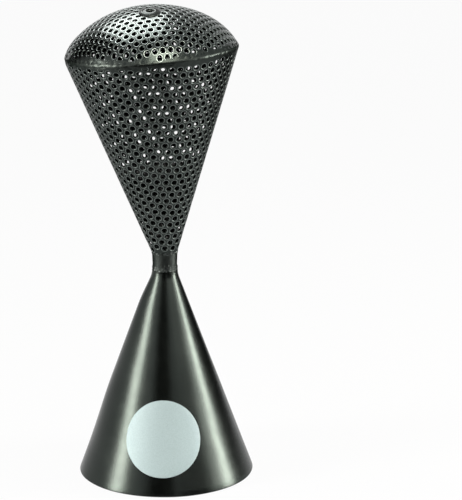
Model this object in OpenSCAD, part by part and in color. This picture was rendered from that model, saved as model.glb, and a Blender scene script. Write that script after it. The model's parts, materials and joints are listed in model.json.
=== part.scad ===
// Cone stack shaker: an open sheet-steel bell below, and a perforated basket of loose shot above.
// The origin is the centre of the bell's mouth, on the surface that it stands on.
// +Z points up, and -Y is the front, where the disc is.

/* [Bell] */
// Outer diameter of the bell's mouth
mouth_d = 108; // [80:1:140]
// Height of the bell's sheet, from the mouth to its small end
bell_h = 124; // [90:1:160]
// Thickness of the bell's sheet
bell_sheet = 1; // [0.6:0.1:2]
// Wall left at the bell's small end, ground down towards the sleeve
bell_end = 0.5; // [0.3:0.1:1]
// Length of the straight end that grips the neck
bell_grip = 4; // [2:0.5:8]
// Radius of the hollow curve between the cone and that end
bell_flow = 18; // [5:1:30]

/* [Neck] */
// Outer diameter of the neck sleeve
neck_d = 14.8; // [12:0.2:20]
// Length of sleeve that shows between the bell and the basket
neck_len = 15; // [10:1:30]
// Wall of the sleeve
neck_wall = 2; // [1:0.5:4]
// Depth of the sleeve inside each cone
neck_sink = 8; // [5:1:12]
// Thickness of the plug in the sleeve's upper end
plug_t = 4; // [2:0.5:8]
// Leg of the weld bead on the sleeve at each end of the neck
neck_weld = 3; // [1:0.5:4]

/* [Basket] */
// Height of the basket, from its small end to the corner where cone and dome would meet
basket_h = 123.4; // [90:0.1:160]
// Diameter of that corner, before it is rounded
rim_d = 105.6; // [80:0.2:140]
// Thickness of the perforated sheet, in the basket and the dome
basket_sheet = 1; // [0.6:0.1:1.6]
// How far the sleeve bites into the sheet at the basket's small end
basket_bite = 0.5; // [0.2:0.05:0.7]
// Lean of the basket on its neck, in degrees towards -X
basket_lean = 3.4; // [-5:0.1:5]
// Turn of the rolled sheet's middle from the front, in degrees towards +X
basket_turn = 31; // [-60:1:60]
// Width of the weld bead on the basket's seam
seam_w = 3; // [2:0.1:4]
// Height of that bead above the sheet
seam_h = 0.8; // [0.6:0.1:1.2]

/* [Holes] */
// Diameter of the holes in the perforated sheet
hole_d = 5; // [3:0.1:6]
// Distance between neighbouring holes, in rows that form equal triangles
hole_pitch = 9; // [8:0.5:14]
// Plain sheet left between a hole and the sheet's ends and seam
hole_edge = 1.5; // [1:0.5:4]

/* [Dome] */
// Rise of the dome above the corner of the rim
dome_h = 26.8; // [20:0.1:40]
// Radius that the rim weld is ground to
corner_r = 5; // [2:0.5:8]

/* [Crown] */
// Angle of the socket from the top of the dome towards the front, in degrees
crown_offset = 16; // [0:1:20]
// Turn of the socket's place round the dome, in degrees towards +X
crown_turn = 4; // [-30:1:30]
// Diameter of the seat ring round the socket
seat_d = 13; // [11:0.5:18]
// Height of the seat ring above the dome
seat_h = 1.2; // [0.6:0.1:3]
// Outer diameter of the threaded insert
insert_d = 9; // [8:0.5:10]
// Length of the threaded insert
insert_len = 9.5; // [7:0.5:14]
// Solid end that closes the insert
insert_end = 1.5; // [1:0.5:3]
// Core diameter of the insert's thread, M6
thread_core_d = 5; // [4:0.1:6]

/* [Shot] */
// Diameter of the steel balls, larger than the holes
shot_d = 6; // [5.5:0.1:7]
// Level of the settled balls above the basket's small end
shot_level = 55; // [30:1:70]
// Space between neighbouring balls
shot_space = 0.2; // [0.1:0.1:0.5]
// Space between the balls and what holds them
shot_gap = 0.6; // [0.4:0.1:1]

/* [Disc] */
// Diameter of the plain silver disc, measured along the sheet
disc_d = 46.5; // [30:0.5:52]
// Height of the disc's middle above the mouth
disc_z = 32.7; // [28:0.1:45]
// Thickness of the disc
disc_t = 0.4; // [0.2:0.1:1]

/* [Hidden] */
$fn = 96;
// Facets of the round faces that a thin piece is cut to
fine = 360;
gunmetal = [0.27, 0.28, 0.27];
weld_grey = [0.22, 0.22, 0.22];
silver = [0.78, 0.79, 0.78];
bright_steel = [0.62, 0.62, 0.6];
front = -90;
// Length that a cutting solid reaches past the face it cuts
past = 1;
// Straight length that the bell's grip keeps above the curve, at least
grip_end = 0.5;
// Straight steps in a curve of a profile
arc_steps = 8;
// Part of a quarter turn that the face of a bead follows, in degrees
bead_turn = 75;

mouth_r = mouth_d / 2;
neck_r = neck_d / 2;
neck_top = bell_h + neck_len;

// The bell is a straight cone that flows into a short grip round the sleeve
bell_top_r = neck_r + min(bell_end, bell_sheet);
bell_cone_h = bell_h - bell_grip;
bell_half = atan((mouth_r - bell_top_r) / bell_cone_h);
bell_wall = bell_sheet / cos(bell_half);
bell_apex = mouth_r / tan(bell_half);
flow_r = min(bell_flow, (bell_grip - grip_end) / tan(bell_half / 2));
flow_c = [bell_top_r + flow_r, bell_cone_h + flow_r * tan(bell_half / 2)];

// The basket is measured in its own leaning frame, with z = 0 at its small end
rim_r = rim_d / 2;
basket_r = neck_r + basket_sheet - basket_bite;
basket_half = atan((rim_r - basket_r) / basket_h);
basket_wall = basket_sheet / cos(basket_half);
basket_slant = basket_r / sin(basket_half);
seam = front + basket_turn + 180;

// The dome is part of a sphere through the corner, and the corner's circle touches cone and sphere
dome_r = (pow(rim_r, 2) + pow(dome_h, 2)) / (2 * dome_h);
dome_z = basket_h + dome_h - dome_r;
uphill = [sin(basket_half), cos(basket_half)];
inward = [-cos(basket_half), sin(basket_half)];
corner_start = [rim_r, basket_h - dome_z] + corner_r * inward;
corner_back = sqrt(pow(corner_start * uphill, 2) - corner_start * corner_start + pow(dome_r - corner_r, 2))
    - corner_start * uphill;
corner_c = corner_start + corner_back * uphill + [0, dome_z];
cone_end = corner_c - corner_r * inward;
dome_edge_angle = atan2(corner_c[1] - dome_z, corner_c[0]);
dome_edge = [dome_r * cos(dome_edge_angle), dome_z + dome_r * sin(dome_edge_angle)];
dome_inner_r = dome_r - basket_sheet;
dome_inner_edge = [sqrt(pow(dome_inner_r, 2) - pow(dome_edge[1] - dome_z, 2)), dome_edge[1]];

// The balls lie in level layers of rings, from the sleeve's end up
shot_step = shot_d + shot_space;
shot_first = neck_sink + neck_r * abs(sin(basket_lean)) + shot_d / 2 + shot_gap;
shot_layers = floor((shot_level - shot_d / 2 - shot_first) / shot_step);
// Turn of each layer on the one below, so that the rings don't line up
shot_turn = 137.5;

function basket_inner_r(z) = basket_r - basket_wall + z * tan(basket_half);

// Places of the holes on the flat sheet before it is rolled, as [distance from the cone's tip, angle]
function rolled_holes() =
    let (slant_end = cone_end[0] / sin(basket_half),
        near = basket_slant + hole_edge + hole_d / 2,
        far = slant_end - hole_edge - hole_d / 2,
        across = ceil(far / hole_pitch),
        row = hole_pitch * sqrt(3) / 2)
    [for (j = [-across : across * 2], i = [-across : across])
        let (x = (i + (abs(j) % 2) / 2) * hole_pitch,
            y = j * row,
            rho = norm([x, y]),
            turn = atan2(x, y),
            to_seam = rho * sin(max(0, min(90, 180 * sin(basket_half) - abs(turn)))))
        if (rho > near && rho < far && abs(turn) < 180 * sin(basket_half)
            && to_seam > hole_edge + (hole_d + seam_w) / 2) [rho, turn]];

// Places of the holes on the dome, as [distance from its top along the sheet, angle]
function dome_holes() =
    let (far = dome_r * (90 - dome_edge_angle) * PI / 180 - hole_edge - hole_d / 2,
        across = ceil(far / hole_pitch) + 1,
        row = hole_pitch * sqrt(3) / 2,
        seat = dome_r * crown_offset * PI / 180 * [sin(crown_turn), -cos(crown_turn)],
        clear = seat_d / 2 + hole_edge + hole_d / 2)
    [for (j = [-across : across], i = [-across : across])
        let (x = (i + (abs(j) % 2) / 2) * hole_pitch, y = j * row)
        if (norm([x, y]) < far && norm([x, y] - seat) > clear) [norm([x, y]), atan2(y, x)]];

// Places of the balls
function ball_rings(r) = [for (k = [0 : floor((r - shot_step / 2) / shot_step)]) r - k * shot_step];
function ball_places() =
    [for (layer = [0 : shot_layers])
        let (z = shot_first + layer * shot_step,
            rings = ball_rings(basket_inner_r(z) - (shot_d / 2 + shot_gap) / cos(basket_half)),
            centre = rings[len(rings) - 1] >= shot_step)
        for (r = concat(rings, centre ? [0] : []))
            let (n = r == 0 ? 1 : floor(180 / asin(min(1, shot_step / (2 * r)))))
            for (i = [0 : n - 1])
                let (a = layer * shot_turn + 360 * i / n) [r * cos(a), r * sin(a), z]];

// Outline of a flat round disc once it is bent round the bell, seen square to the sheet at its middle
function bent_outline(points) =
    let (r = mouth_r - disc_z * tan(bell_half), slant = r / sin(bell_half))
    [for (i = [0 : points - 1])
        let (across = disc_d / 2 * cos(360 * i / points),
            up = disc_d / 2 * sin(360 * i / points),
            rho = norm([across, slant - up]),
            turn = atan2(across, slant - up) / sin(bell_half),
            y = r - rho * sin(bell_half) * cos(turn),
            z = bell_apex - rho * cos(bell_half) - disc_z)
        [rho * sin(bell_half) * sin(turn), y * sin(bell_half) + z * cos(bell_half)]];

function arc(c, r, from, to, steps) =
    [for (i = [0 : steps]) let (a = from + (to - from) * i / steps) c + r * [cos(a), sin(a)]];

module revolve(points) {
    rotate_extrude() polygon(points);
}

module leaning() {
    translate([0, 0, neck_top]) rotate([0, -basket_lean, 0]) children();
}

module at_crown() {
    leaning() translate([0, 0, dome_z]) rotate([crown_offset, 0, crown_turn]) children();
}

module sleeve_space() {
    translate([0, 0, bell_h - neck_sink]) cylinder(r = neck_r, h = neck_len + 2 * neck_sink);
}

module bell_cone() {
    color(gunmetal) difference() {
        revolve(concat(
            [[mouth_r, 0]],
            arc(flow_c, flow_r, 180 + bell_half, 180, arc_steps),
            [[bell_top_r, bell_h], [bell_top_r - bell_sheet, bell_h]],
            arc(flow_c, flow_r + bell_sheet, 180, 180 + bell_half, arc_steps),
            [[mouth_r - bell_wall, 0]]));
        sleeve_space();
    }
}

module neck_sleeve() {
    color(gunmetal) difference() {
        sleeve_space();
        translate([0, 0, bell_h - neck_sink - past])
            cylinder(r = neck_r - neck_wall, h = neck_len + 2 * (neck_sink + past));
    }
}

module neck_plug() {
    color(bright_steel) translate([0, 0, neck_top + neck_sink - plug_t])
        cylinder(r = neck_r - neck_wall, h = plug_t);
}

// A bead with a round face, from a ledge of the given width on to the sleeve
module bead(inner, ledge, leg) {
    revolve(concat([[inner, 0]],
        [for (i = [0 : arc_steps])
            let (a = bead_turn * i / arc_steps) [neck_r + ledge * cos(a), leg * sin(a)]],
        [[inner, leg * sin(bead_turn)]]));
}

module neck_lower_weld() {
    color(weld_grey) difference() {
        translate([0, 0, bell_h]) bead(neck_r / 2, bell_top_r - neck_r, neck_weld);
        sleeve_space();
    }
}

module neck_upper_weld() {
    color(weld_grey) difference() {
        leaning() mirror([0, 0, 1]) bead(neck_r / 2, basket_r - neck_r, neck_weld);
        sleeve_space();
    }
}

module basket_cone() {
    color(gunmetal) difference() {
        leaning() difference() {
            revolve([
                [basket_r, 0],
                cone_end,
                [cone_end[0] - basket_wall, cone_end[1]],
                [basket_r - basket_wall, 0]]);
            for (hole = rolled_holes())
                rotate([0, 0, front + basket_turn + hole[1] / sin(basket_half)])
                    translate([hole[0] * sin(basket_half), 0, (hole[0] - basket_slant) * cos(basket_half)])
                        rotate([0, 90 + basket_half, 0])
                            cylinder(d = hole_d, h = 2 * (basket_sheet + past), center = true);
        }
        sleeve_space();
    }
}

// A low round bead along the seam, on the outside of the sheet
module basket_seam_weld() {
    bead_r = (pow(seam_w / 2, 2) + pow(seam_h, 2)) / (2 * seam_h);
    color(weld_grey) leaning() rotate([0, 0, seam]) difference() {
        translate([basket_r, 0, 0]) rotate([0, basket_half, 0])
            translate([seam_h - bead_r, 0, hole_edge])
                cylinder(r = bead_r, h = norm(cone_end - [basket_r, 0]) - 2 * hole_edge, $fn = fine);
        cylinder(r1 = basket_r, r2 = cone_end[0], h = cone_end[1], $fn = fine);
    }
}

module rim_weld() {
    color(weld_grey) leaning() revolve(concat(
        arc(corner_c, corner_r, -basket_half, dome_edge_angle, arc_steps),
        [dome_inner_edge, [cone_end[0] - basket_wall, cone_end[1]]]));
}

module dome_cap() {
    color(gunmetal) difference() {
        leaning() difference() {
            translate([0, 0, dome_z]) sphere(r = dome_r);
            translate([0, 0, dome_z]) sphere(r = dome_inner_r);
            translate([-dome_r, -dome_r, dome_edge[1] - 2 * dome_r]) cube(2 * dome_r);
            for (hole = dome_holes())
                translate([0, 0, dome_z]) rotate([0, 0, hole[1]])
                    rotate([0, hole[0] / dome_r * 180 / PI, 0])
                        translate([0, 0, dome_r - basket_sheet - past])
                            cylinder(d = hole_d, h = basket_sheet + 2 * past);
        }
        at_crown() translate([0, 0, dome_r - insert_len]) cylinder(d = insert_d, h = 2 * insert_len);
    }
}

module crown_seat() {
    color(gunmetal) at_crown() difference() {
        translate([0, 0, dome_r - past]) cylinder(d = seat_d, h = seat_h + past);
        sphere(r = dome_r, $fn = fine);
        translate([0, 0, dome_r - insert_len]) cylinder(d = insert_d, h = 2 * insert_len);
    }
}

module crown_insert() {
    color(bright_steel) at_crown() translate([0, 0, dome_r + seat_h - insert_len]) difference() {
        cylinder(d = insert_d, h = insert_len);
        translate([0, 0, insert_end]) cylinder(d = thread_core_d, h = insert_len);
    }
}

module shot() {
    color(bright_steel) leaning() for (place = ball_places()) translate(place) sphere(d = shot_d);
}

module badge_disc() {
    middle_r = mouth_r - disc_z * tan(bell_half);
    band = disc_d / 2 * cos(bell_half) + past;
    low = disc_z - band;
    high = disc_z + band;
    skin = disc_t / cos(bell_half);
    color(silver) intersection() {
        revolve([
            [(bell_apex - low) * tan(bell_half), low],
            [(bell_apex - low) * tan(bell_half) + skin, low],
            [(bell_apex - high) * tan(bell_half) + skin, high],
            [(bell_apex - high) * tan(bell_half), high]]);
        translate([0, -middle_r, disc_z]) rotate([90 - bell_half, 0, 0])
            linear_extrude(height = middle_r, center = true) polygon(bent_outline(48));
    }
}

bell_cone();
neck_sleeve();
neck_plug();
neck_lower_weld();
neck_upper_weld();
basket_cone();
basket_seam_weld();
rim_weld();
dome_cap();
crown_seat();
crown_insert();
shot();
badge_disc();
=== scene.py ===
# %% [markdown]
# # A cone stack shaker
# This hand shaker has two halves on one short neck. The lower half is an open bell of sheet steel. The
# upper half is a basket of perforated sheet with a domed lid, and loose steel shot rattles in it.
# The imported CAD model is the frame: it gives every size and place, and this lesson dresses it. Each
# cell makes one piece or one finish. Shapes are worked out with numpy in millimetres, as whole arrays,
# and become metres only when a mesh is made.

# %% Load the frame
import json

import bpy
import numpy as np
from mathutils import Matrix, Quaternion, Vector


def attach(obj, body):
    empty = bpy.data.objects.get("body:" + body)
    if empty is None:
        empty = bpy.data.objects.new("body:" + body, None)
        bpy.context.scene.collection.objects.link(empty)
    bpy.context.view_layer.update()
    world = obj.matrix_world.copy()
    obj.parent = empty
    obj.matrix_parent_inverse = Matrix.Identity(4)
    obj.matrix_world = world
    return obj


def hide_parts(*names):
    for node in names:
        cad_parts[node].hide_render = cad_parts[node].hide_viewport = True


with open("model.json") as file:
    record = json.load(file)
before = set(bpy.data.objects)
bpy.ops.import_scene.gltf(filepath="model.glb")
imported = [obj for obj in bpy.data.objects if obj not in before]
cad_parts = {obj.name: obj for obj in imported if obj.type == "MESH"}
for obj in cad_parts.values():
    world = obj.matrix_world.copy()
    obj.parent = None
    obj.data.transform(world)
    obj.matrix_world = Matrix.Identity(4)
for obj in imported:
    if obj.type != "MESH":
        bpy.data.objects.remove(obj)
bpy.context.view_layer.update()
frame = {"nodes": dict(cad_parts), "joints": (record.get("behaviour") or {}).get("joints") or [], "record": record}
MM = 0.001
TURN = 2 * np.pi
print("CAD nodes:", ", ".join(sorted(frame["nodes"])))

# %% [markdown]
# ## Sizes from the frame
# The sizes could be typed in again, but then they could drift from the CAD model. Reading them from the
# nodes' own vertices keeps both the same. Bell and neck are round, so their points' distances from the
# z axis give the radii, and the heights give the rest.


# %% Measure the bell and the neck
def node_points(node):
    """Every vertex of a CAD node, in millimetres."""
    vertices = frame["nodes"][node].data.vertices
    flat = np.empty(3 * len(vertices), np.float32)
    vertices.foreach_get("co", flat)
    return flat.reshape(-1, 3).astype(float) / MM


def outline(points):
    """Each point's distance from the z axis, and its height."""
    x, y, z = points.T
    return np.hypot(x, y), z


sheet = 1
bell_radii, bell_heights = outline(node_points("bell_cone"))
mouth_r = bell_radii.max()
bell_h = bell_heights.max()
bell_top_r = bell_radii[bell_heights > bell_h - sheet / 10].max()
sleeve_radii, sleeve_heights = outline(node_points("neck_sleeve"))
neck_r = sleeve_radii.max()
bore_r = sleeve_radii.min()
neck_sink = bell_h - sleeve_heights.min()
neck_top = sleeve_heights.max() - neck_sink
print(f"mouth {2 * mouth_r:.1f} mm, bell {bell_h:.1f} mm, neck {2 * neck_r:.1f} mm")

# %% [markdown]
# ## The basket's own frame
# The basket leans a little on its neck, as hand-welded work does, and the shot slides along the
# leaning axis. Its pieces could be made upright and their objects tilted, but then their patterns would
# tilt too. So the joint's axis gives the basket three axes of its own, in which every piece of the upper
# half is round, and the points are turned back before a mesh is made.

# %% Measure the basket and the dome
basket_up = np.array(frame["joints"][0]["axis"], float)
basket_up /= np.linalg.norm(basket_up)
basket_right = np.cross((0, 1, 0), basket_up)
basket_axes = np.array([basket_right, np.cross(basket_up, basket_right), basket_up])
basket_foot = np.array([0, 0, neck_top])


def to_basket(points):
    """Points as the leaning basket sees them, with z = 0 at its small end."""
    return (points - basket_foot) @ basket_axes.T


def from_basket(points):
    """Points of the basket's own frame back in the shaker's frame."""
    return points @ basket_axes + basket_foot


basket_radii, basket_heights = outline(to_basket(node_points("basket_cone")))
basket_end_r = basket_radii.max()
basket_end_z = basket_heights.max()
basket_r = basket_radii[basket_heights < sheet / 2].max()
basket_half = np.arctan((basket_end_r - basket_r) / basket_end_z)
dome_radii, dome_heights = outline(to_basket(node_points("dome_cap")))
dome_foot_r = dome_radii.max()
dome_foot_z = dome_heights.min()
dome_rise = dome_heights.max() - dome_foot_z
dome_r = (dome_foot_r**2 + dome_rise**2) / (2 * dome_rise)
dome_z = dome_foot_z + dome_rise - dome_r
print(f"basket half-angle {np.degrees(basket_half):.1f} degrees, dome's sphere {dome_r:.1f} mm")

# %% [markdown]
# ## The ridge of the rim
# Basket and dome meet in a crisp ridge that was ground to a small radius. A bevel could round the
# corner, but the holes and the weld have to know where it starts and ends. So its circle is worked out.
# The centre lies one radius inside the cone, which is a line, and one radius inside the dome, which is
# a circle, and a quadratic equation gives the place where the two meet.

# %% Fit the ridge
ridge_r = 1.8
uphill = np.array([np.sin(basket_half), np.cos(basket_half)])
inward = np.array([-np.cos(basket_half), np.sin(basket_half)])
from_centre = np.array([basket_end_r, basket_end_z - dome_z]) + ridge_r * inward
along_cone = from_centre @ uphill
further = np.sqrt(along_cone**2 - from_centre @ from_centre + (dome_r - ridge_r) ** 2) - along_cone
ridge_c = from_centre + further * uphill + (0, dome_z)
cone_end = ridge_c - ridge_r * inward
dome_start = np.arctan2(ridge_c[1] - dome_z, ridge_c[0])
dome_edge_r = dome_r * np.cos(dome_start)
ridge_turn = (dome_start - basket_half) / 2
ridge_out = np.array([np.cos(ridge_turn), np.sin(ridge_turn)])
ridge_top = ridge_c + ridge_r * ridge_out
print(f"ridge {2 * ridge_top[0]:.1f} mm across, {ridge_top[1]:.1f} mm above the basket's foot")

# %% [markdown]
# ## Faults of hand work
# A hand-made rim is never true. On this one the ridge runs lower in front, it was ground softer on the
# left, and the dome's shoulder bulges on the right. The faults could be sculpted into each mesh, but
# basket, dome and weld have to stay together. So one function moves the points of all three, and every
# fault fades out smoothly on all sides.

# %% Faults of the rim
ridge_drop = 1.8
drop_width = 6
drop_side = np.radians(-130)
soft_depth = 0.7
soft_width = 2.6
soft_side = np.radians(-165)
bulge_rise = 1.5
bulge_side = np.radians(5)
broad = -0.2
narrow = 0.3


def smooth(share):
    """A step from 0 to 1 that starts and ends level: 3 s^2 - 2 s^3, with s held between 0 and 1."""
    share = np.clip(share, 0, 1)
    return share**2 * (3 - 2 * share)


def lobe(angle, side, limit):
    """A smooth step from 1 at a side to 0 where the cosine of the angle from it falls to a limit."""
    return smooth((np.cos(angle - side) - limit) / (1 - limit))


def hand_made(points):
    """Points of the basket's own frame with the three faults. At a distance d from the ridge they move
    down the cone by drop * exp(-(d / width)^2), and inwards by a like share. On the dome they move out
    by bulge * sin(pi * share^2), with the share of the way from its top to the ridge."""
    x, y, z = np.moveaxis(points, -1, 0)
    radius = np.hypot(x, y)
    angle = np.arctan2(y, x)
    away = np.hypot(radius - ridge_top[0], z - ridge_top[1])
    down = ridge_drop * lobe(angle, drop_side, broad) * np.exp(-((away / drop_width) ** 2))
    inwards = soft_depth * lobe(angle, soft_side, narrow) * np.exp(-((away / soft_width) ** 2))
    bend = np.arctan2(radius, z - dome_z)
    share = np.minimum(bend / (np.pi / 2 - dome_start), 1)
    bulge = bulge_rise * lobe(angle, bulge_side, broad) * np.sin(np.pi * share**2)
    wider = bulge * np.sin(bend) - down * uphill[0] - inwards * ridge_out[0]
    higher = bulge * np.cos(bend) - down * uphill[1] - inwards * ridge_out[1]
    stretch = 1 + wider / np.maximum(radius, ridge_r)
    return np.stack([x * stretch, y * stretch, z + higher], -1)


print(f"faults: ridge {ridge_drop} mm lower in front, shoulder {bulge_rise} mm out on the right")

# %% [markdown]
# ## The socket's own frame
# The threaded socket stands square to the dome but off its middle, so its pieces are round about an
# axis of their own. They could be turned after they are made, as any object can. Here the frame's mount
# of that name gives the axis, and the pieces' points are turned back in the same way as the basket's.

# %% Measure the socket
mounts = {mount["name"]: mount for mount in frame["record"]["mounts"]}
crown_up = basket_axes @ mounts["crown_socket"]["axis"]
crown_up /= np.linalg.norm(crown_up)
crown_right = np.cross((0, 1, 0), crown_up)
crown_right /= np.linalg.norm(crown_right)
crown_axes = np.array([crown_right, np.cross(crown_up, crown_right), crown_up])
dome_centre = np.array([0, 0, dome_z])


def to_crown(points):
    """Points as the socket sees them, with z measured from the dome's centre along the socket's axis."""
    return (to_basket(points) - dome_centre) @ crown_axes.T


def from_crown(points):
    """Points of the socket's own frame back in the shaker's frame."""
    return from_basket(points @ crown_axes + dome_centre)


seat_radii, seat_heights = outline(to_crown(node_points("crown_seat")))
seat_r = seat_radii.max()
socket_r = seat_radii.min()
crown_top = seat_heights.max()
insert_radii, insert_heights = outline(to_crown(node_points("crown_insert")))
insert_low = insert_heights.min()
print(f"socket: seat {2 * seat_r:.1f} mm wide, insert {crown_top - insert_low:.1f} mm long")

# %% [markdown]
# ## The camera
# The photograph was taken from a little above, with a long lens. A camera can be placed by eye, but
# here its place was fitted to the outline of both cones, so it is written down as plain values. The
# lens follows from the focal length in pixels and the height of the picture.

# %% Place the camera
picture_h = 500
focal_px = 1888
camera_place = (0, -1.1206, 0.4102)
camera_pitch = 0.237
camera_yaw = -0.0361
camera_data = bpy.data.cameras.new("camera")
camera_data.sensor_width = 36
camera_data.lens = camera_data.sensor_width * focal_px / picture_h
camera = bpy.data.objects.new("camera", camera_data)
camera.location = camera_place
camera.rotation_euler = (np.pi / 2 - camera_pitch, 0, camera_yaw)
bpy.context.collection.objects.link(camera)
bpy.context.scene.camera = camera
bpy.context.scene.view_settings.view_transform = "Standard"
print(f"lens {camera_data.lens:.1f} mm")

# %% [markdown]
# ## The white room
# The object was photographed on white. The white could be made with strong light, but that would wash
# the dark metal out. Instead the floor and the world are white only to the rays that look at them, from
# the camera or from a mirror-like face, and nearly all other light comes from the lamps.


# %% White world
def looked_at(tree):
    """A socket that is 1 on camera, glossy and transmission rays, and 0 on all other rays."""
    path = tree.nodes.new("ShaderNodeLightPath")
    seen = path.outputs["Is Camera Ray"]
    for ray in ("Is Glossy Ray", "Is Transmission Ray"):
        either = tree.nodes.new("ShaderNodeMath")
        either.operation = "MAXIMUM"
        tree.links.new(seen, either.inputs[0])
        tree.links.new(path.outputs[ray], either.inputs[1])
        seen = either.outputs[0]
    return seen


def scaled(tree, socket, low, high, start=0, end=1):
    """A socket that goes from low to high as the given one goes from start to end."""
    ramp = tree.nodes.new("ShaderNodeMapRange")
    ramp.inputs["From Min"].default_value = start
    ramp.inputs["From Max"].default_value = end
    ramp.inputs["To Min"].default_value = low
    ramp.inputs["To Max"].default_value = high
    tree.links.new(socket, ramp.inputs["Value"])
    return ramp.outputs["Result"]


ambient = 0.2
world = bpy.data.worlds.new("white_room")
world.use_nodes = True
tree = world.node_tree
background = tree.nodes["Background"]
background.inputs["Color"].default_value = (1, 1, 1, 1)
tree.links.new(scaled(tree, looked_at(tree), ambient, 1), background.inputs["Strength"])
bpy.context.scene.world = world
print("world:", world.name)


# %% White floor
def new_finish(name):
    """A material that is ready to be wired, with its node tree and its shader."""
    finish = bpy.data.materials.new(name)
    finish.use_nodes = True
    return finish, finish.node_tree, finish.node_tree.nodes["Principled BSDF"]


def rectangle(name, size, finish):
    """A flat rectangle round the origin, with its two sides in metres."""
    mesh = bpy.data.meshes.new(name)
    corners = np.array([(-1, -1, 0), (1, -1, 0), (1, 1, 0), (-1, 1, 0)]) / 2
    mesh.from_pydata((corners * (*size, 0)).tolist(), [], [(0, 1, 2, 3)])
    mesh.materials.append(finish)
    return bpy.data.objects.new(name, mesh)


floor_width = 6
floor_glow = 0.95
floor_tone = 0.9
floor_paper, tree, shader = new_finish("floor_paper")
tree.nodes.remove(shader)
paper = tree.nodes.new("ShaderNodeBsdfDiffuse")
paper.inputs["Color"].default_value = (floor_tone, floor_tone, floor_tone, 1)
glow = tree.nodes.new("ShaderNodeEmission")
blend = tree.nodes.new("ShaderNodeMixShader")
tree.links.new(scaled(tree, looked_at(tree), 0, floor_glow), blend.inputs["Fac"])
tree.links.new(paper.outputs["BSDF"], blend.inputs[1])
tree.links.new(glow.outputs["Emission"], blend.inputs[2])
tree.links.new(blend.outputs["Shader"], tree.nodes["Material Output"].inputs["Surface"])
floor = rectangle("floor", (floor_width, floor_width), floor_paper)
bpy.context.collection.objects.link(floor)
print(f"floor: {floor_width} m wide")

# %% [markdown]
# ## Softboxes
# Dark metal shows little of its own colour: it shows what stands round it. Two tall softboxes draw the
# long streaks on both sides of the bell, and two weak ones beside the right streak widen it. Two more
# make the pale patches on the dome. They could light everything, but that would flatten the bell, so
# only reflections see them.

# %% Place the softboxes
middle = (0, 0, 0.12)
dome_place = (0, 0, 0.26)
warm = (1, 0.97, 0.92)
yellow = (1, 0.96, 0.84)


def around(azimuth, elevation, distance, centre=middle):
    """A place as seen from a centre, in degrees and metres; azimuth 0 is in front, 90 on the right."""
    a, e = np.radians((azimuth, elevation))
    way = np.array([np.sin(a) * np.cos(e), -np.cos(a) * np.cos(e), np.sin(e)])
    return tuple(np.array(centre) + distance * way)


def aimed(holder, place, aim, roll=0):
    """Puts an object at a place with its -Z side towards a point, rolled by some degrees."""
    level = (Vector(aim) - Vector(place)).to_track_quat("-Z", "Y")
    holder.location = place
    holder.rotation_euler = (level @ Quaternion((0, 0, 1), np.radians(roll))).to_euler()
    bpy.context.collection.objects.link(holder)


def softbox(name, place, aim, size, watts, tint=(1, 1, 1), only_mirrored=False):
    """A rectangular lamp with its two sides in metres. One that is only mirrored shows in the metal
    and lights nothing else."""
    lamp = bpy.data.lights.new(name, "AREA")
    lamp.shape = "RECTANGLE"
    lamp.size = size[0]
    lamp.size_y = size[1]
    lamp.energy = watts
    lamp.color = tint
    holder = bpy.data.objects.new(name, lamp)
    holder.visible_diffuse = not only_mirrored
    aimed(holder, place, aim)


softbox("left_softbox", around(-68.5, 13, 1.05), middle, (0.3, 0.66), 13.8, warm)
softbox("right_softbox", around(87, 9, 1.05), middle, (0.26, 0.55), 12.5, warm)
softbox("right_shoulder", around(71, 15, 1.08), middle, (0.24, 0.55), 1.8, warm)
softbox("right_fill", around(45, 24, 1.2), middle, (0.7, 0.6), 1, warm)
softbox("top_softbox", (-0.34, 0.68, 1.27), (-0.34, 0.68, 0), (0.8, 1.15), 33, only_mirrored=True)
softbox("front_softbox", around(13, 53, 1.1, dome_place), dome_place, (0.5, 0.36), 8, yellow, True)
print("softboxes:", ", ".join(lamp.name for lamp in bpy.data.lights))

# %% [markdown]
# ## Black cards
# Between its streaks the metal is nearly black in the photograph, as if dark things stood round it. The
# metal could be made darker, but the white floor and world would still shine in it. Black cards that
# only reflections see hide them, just as a studio's black flags do.

# %% Place the cards
bell_place = (0, 0, 0.09)
black_card, _, shader = new_finish("black_card")
shader.inputs["Base Color"].default_value = (0.01, 0.01, 0.01, 1)
shader.inputs["Specular IOR Level"].default_value = 0


def card(name, place, aim, size, roll=0):
    """A black card that only reflections see, to keep a face of the metal dark."""
    flag = rectangle(name, size, black_card)
    flag.visible_camera = False
    flag.visible_diffuse = False
    flag.visible_shadow = False
    aimed(flag, place, aim, roll)
    print(f"{name}: {size[0]} by {size[1]} m")


card("camera_card", around(-8, 10, 1.3), middle, (0.9, 1.2))
card("front_card", around(38, 5, 1.2), middle, (0.9, 0.5))
card("floor_card", (0, -0.8, 0.001), (0, -0.8, -1), (1.4, 1))
card("left_card", around(-118, 33, 1, dome_place), dome_place, (1.3, 0.66), 49.6)
card("right_card", around(129, 0, 0.5, bell_place), bell_place, (0.45, 0.18))

# %% [markdown]
# ## Meshes from arrays
# Every new piece is a grid of points: a function of two parameters, or a profile carried round an axis.
# A modelling tool could draw the same by hand, but an array keeps the formula in sight and gives the
# same mesh each time. These helpers join a grid's points into faces and make the piece.


# %% Faces of a grid
def grid_faces(rows, columns):
    """Quads between neighbours of a grid that closes on itself round its columns."""
    row = np.arange(rows - 1)[:, None]
    column = np.arange(columns)
    beside = (column + 1) % columns
    quads = [row * columns + column, row * columns + beside]
    quads += [quads[1] + columns, quads[0] + columns]
    return np.stack(quads, -1).reshape(-1, 4)


def triangles(quads):
    """Two triangles for each quad."""
    return np.concatenate([quads[..., [0, 1, 2]], quads[..., [0, 2, 3]]], -2).reshape(-1, 3)


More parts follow.
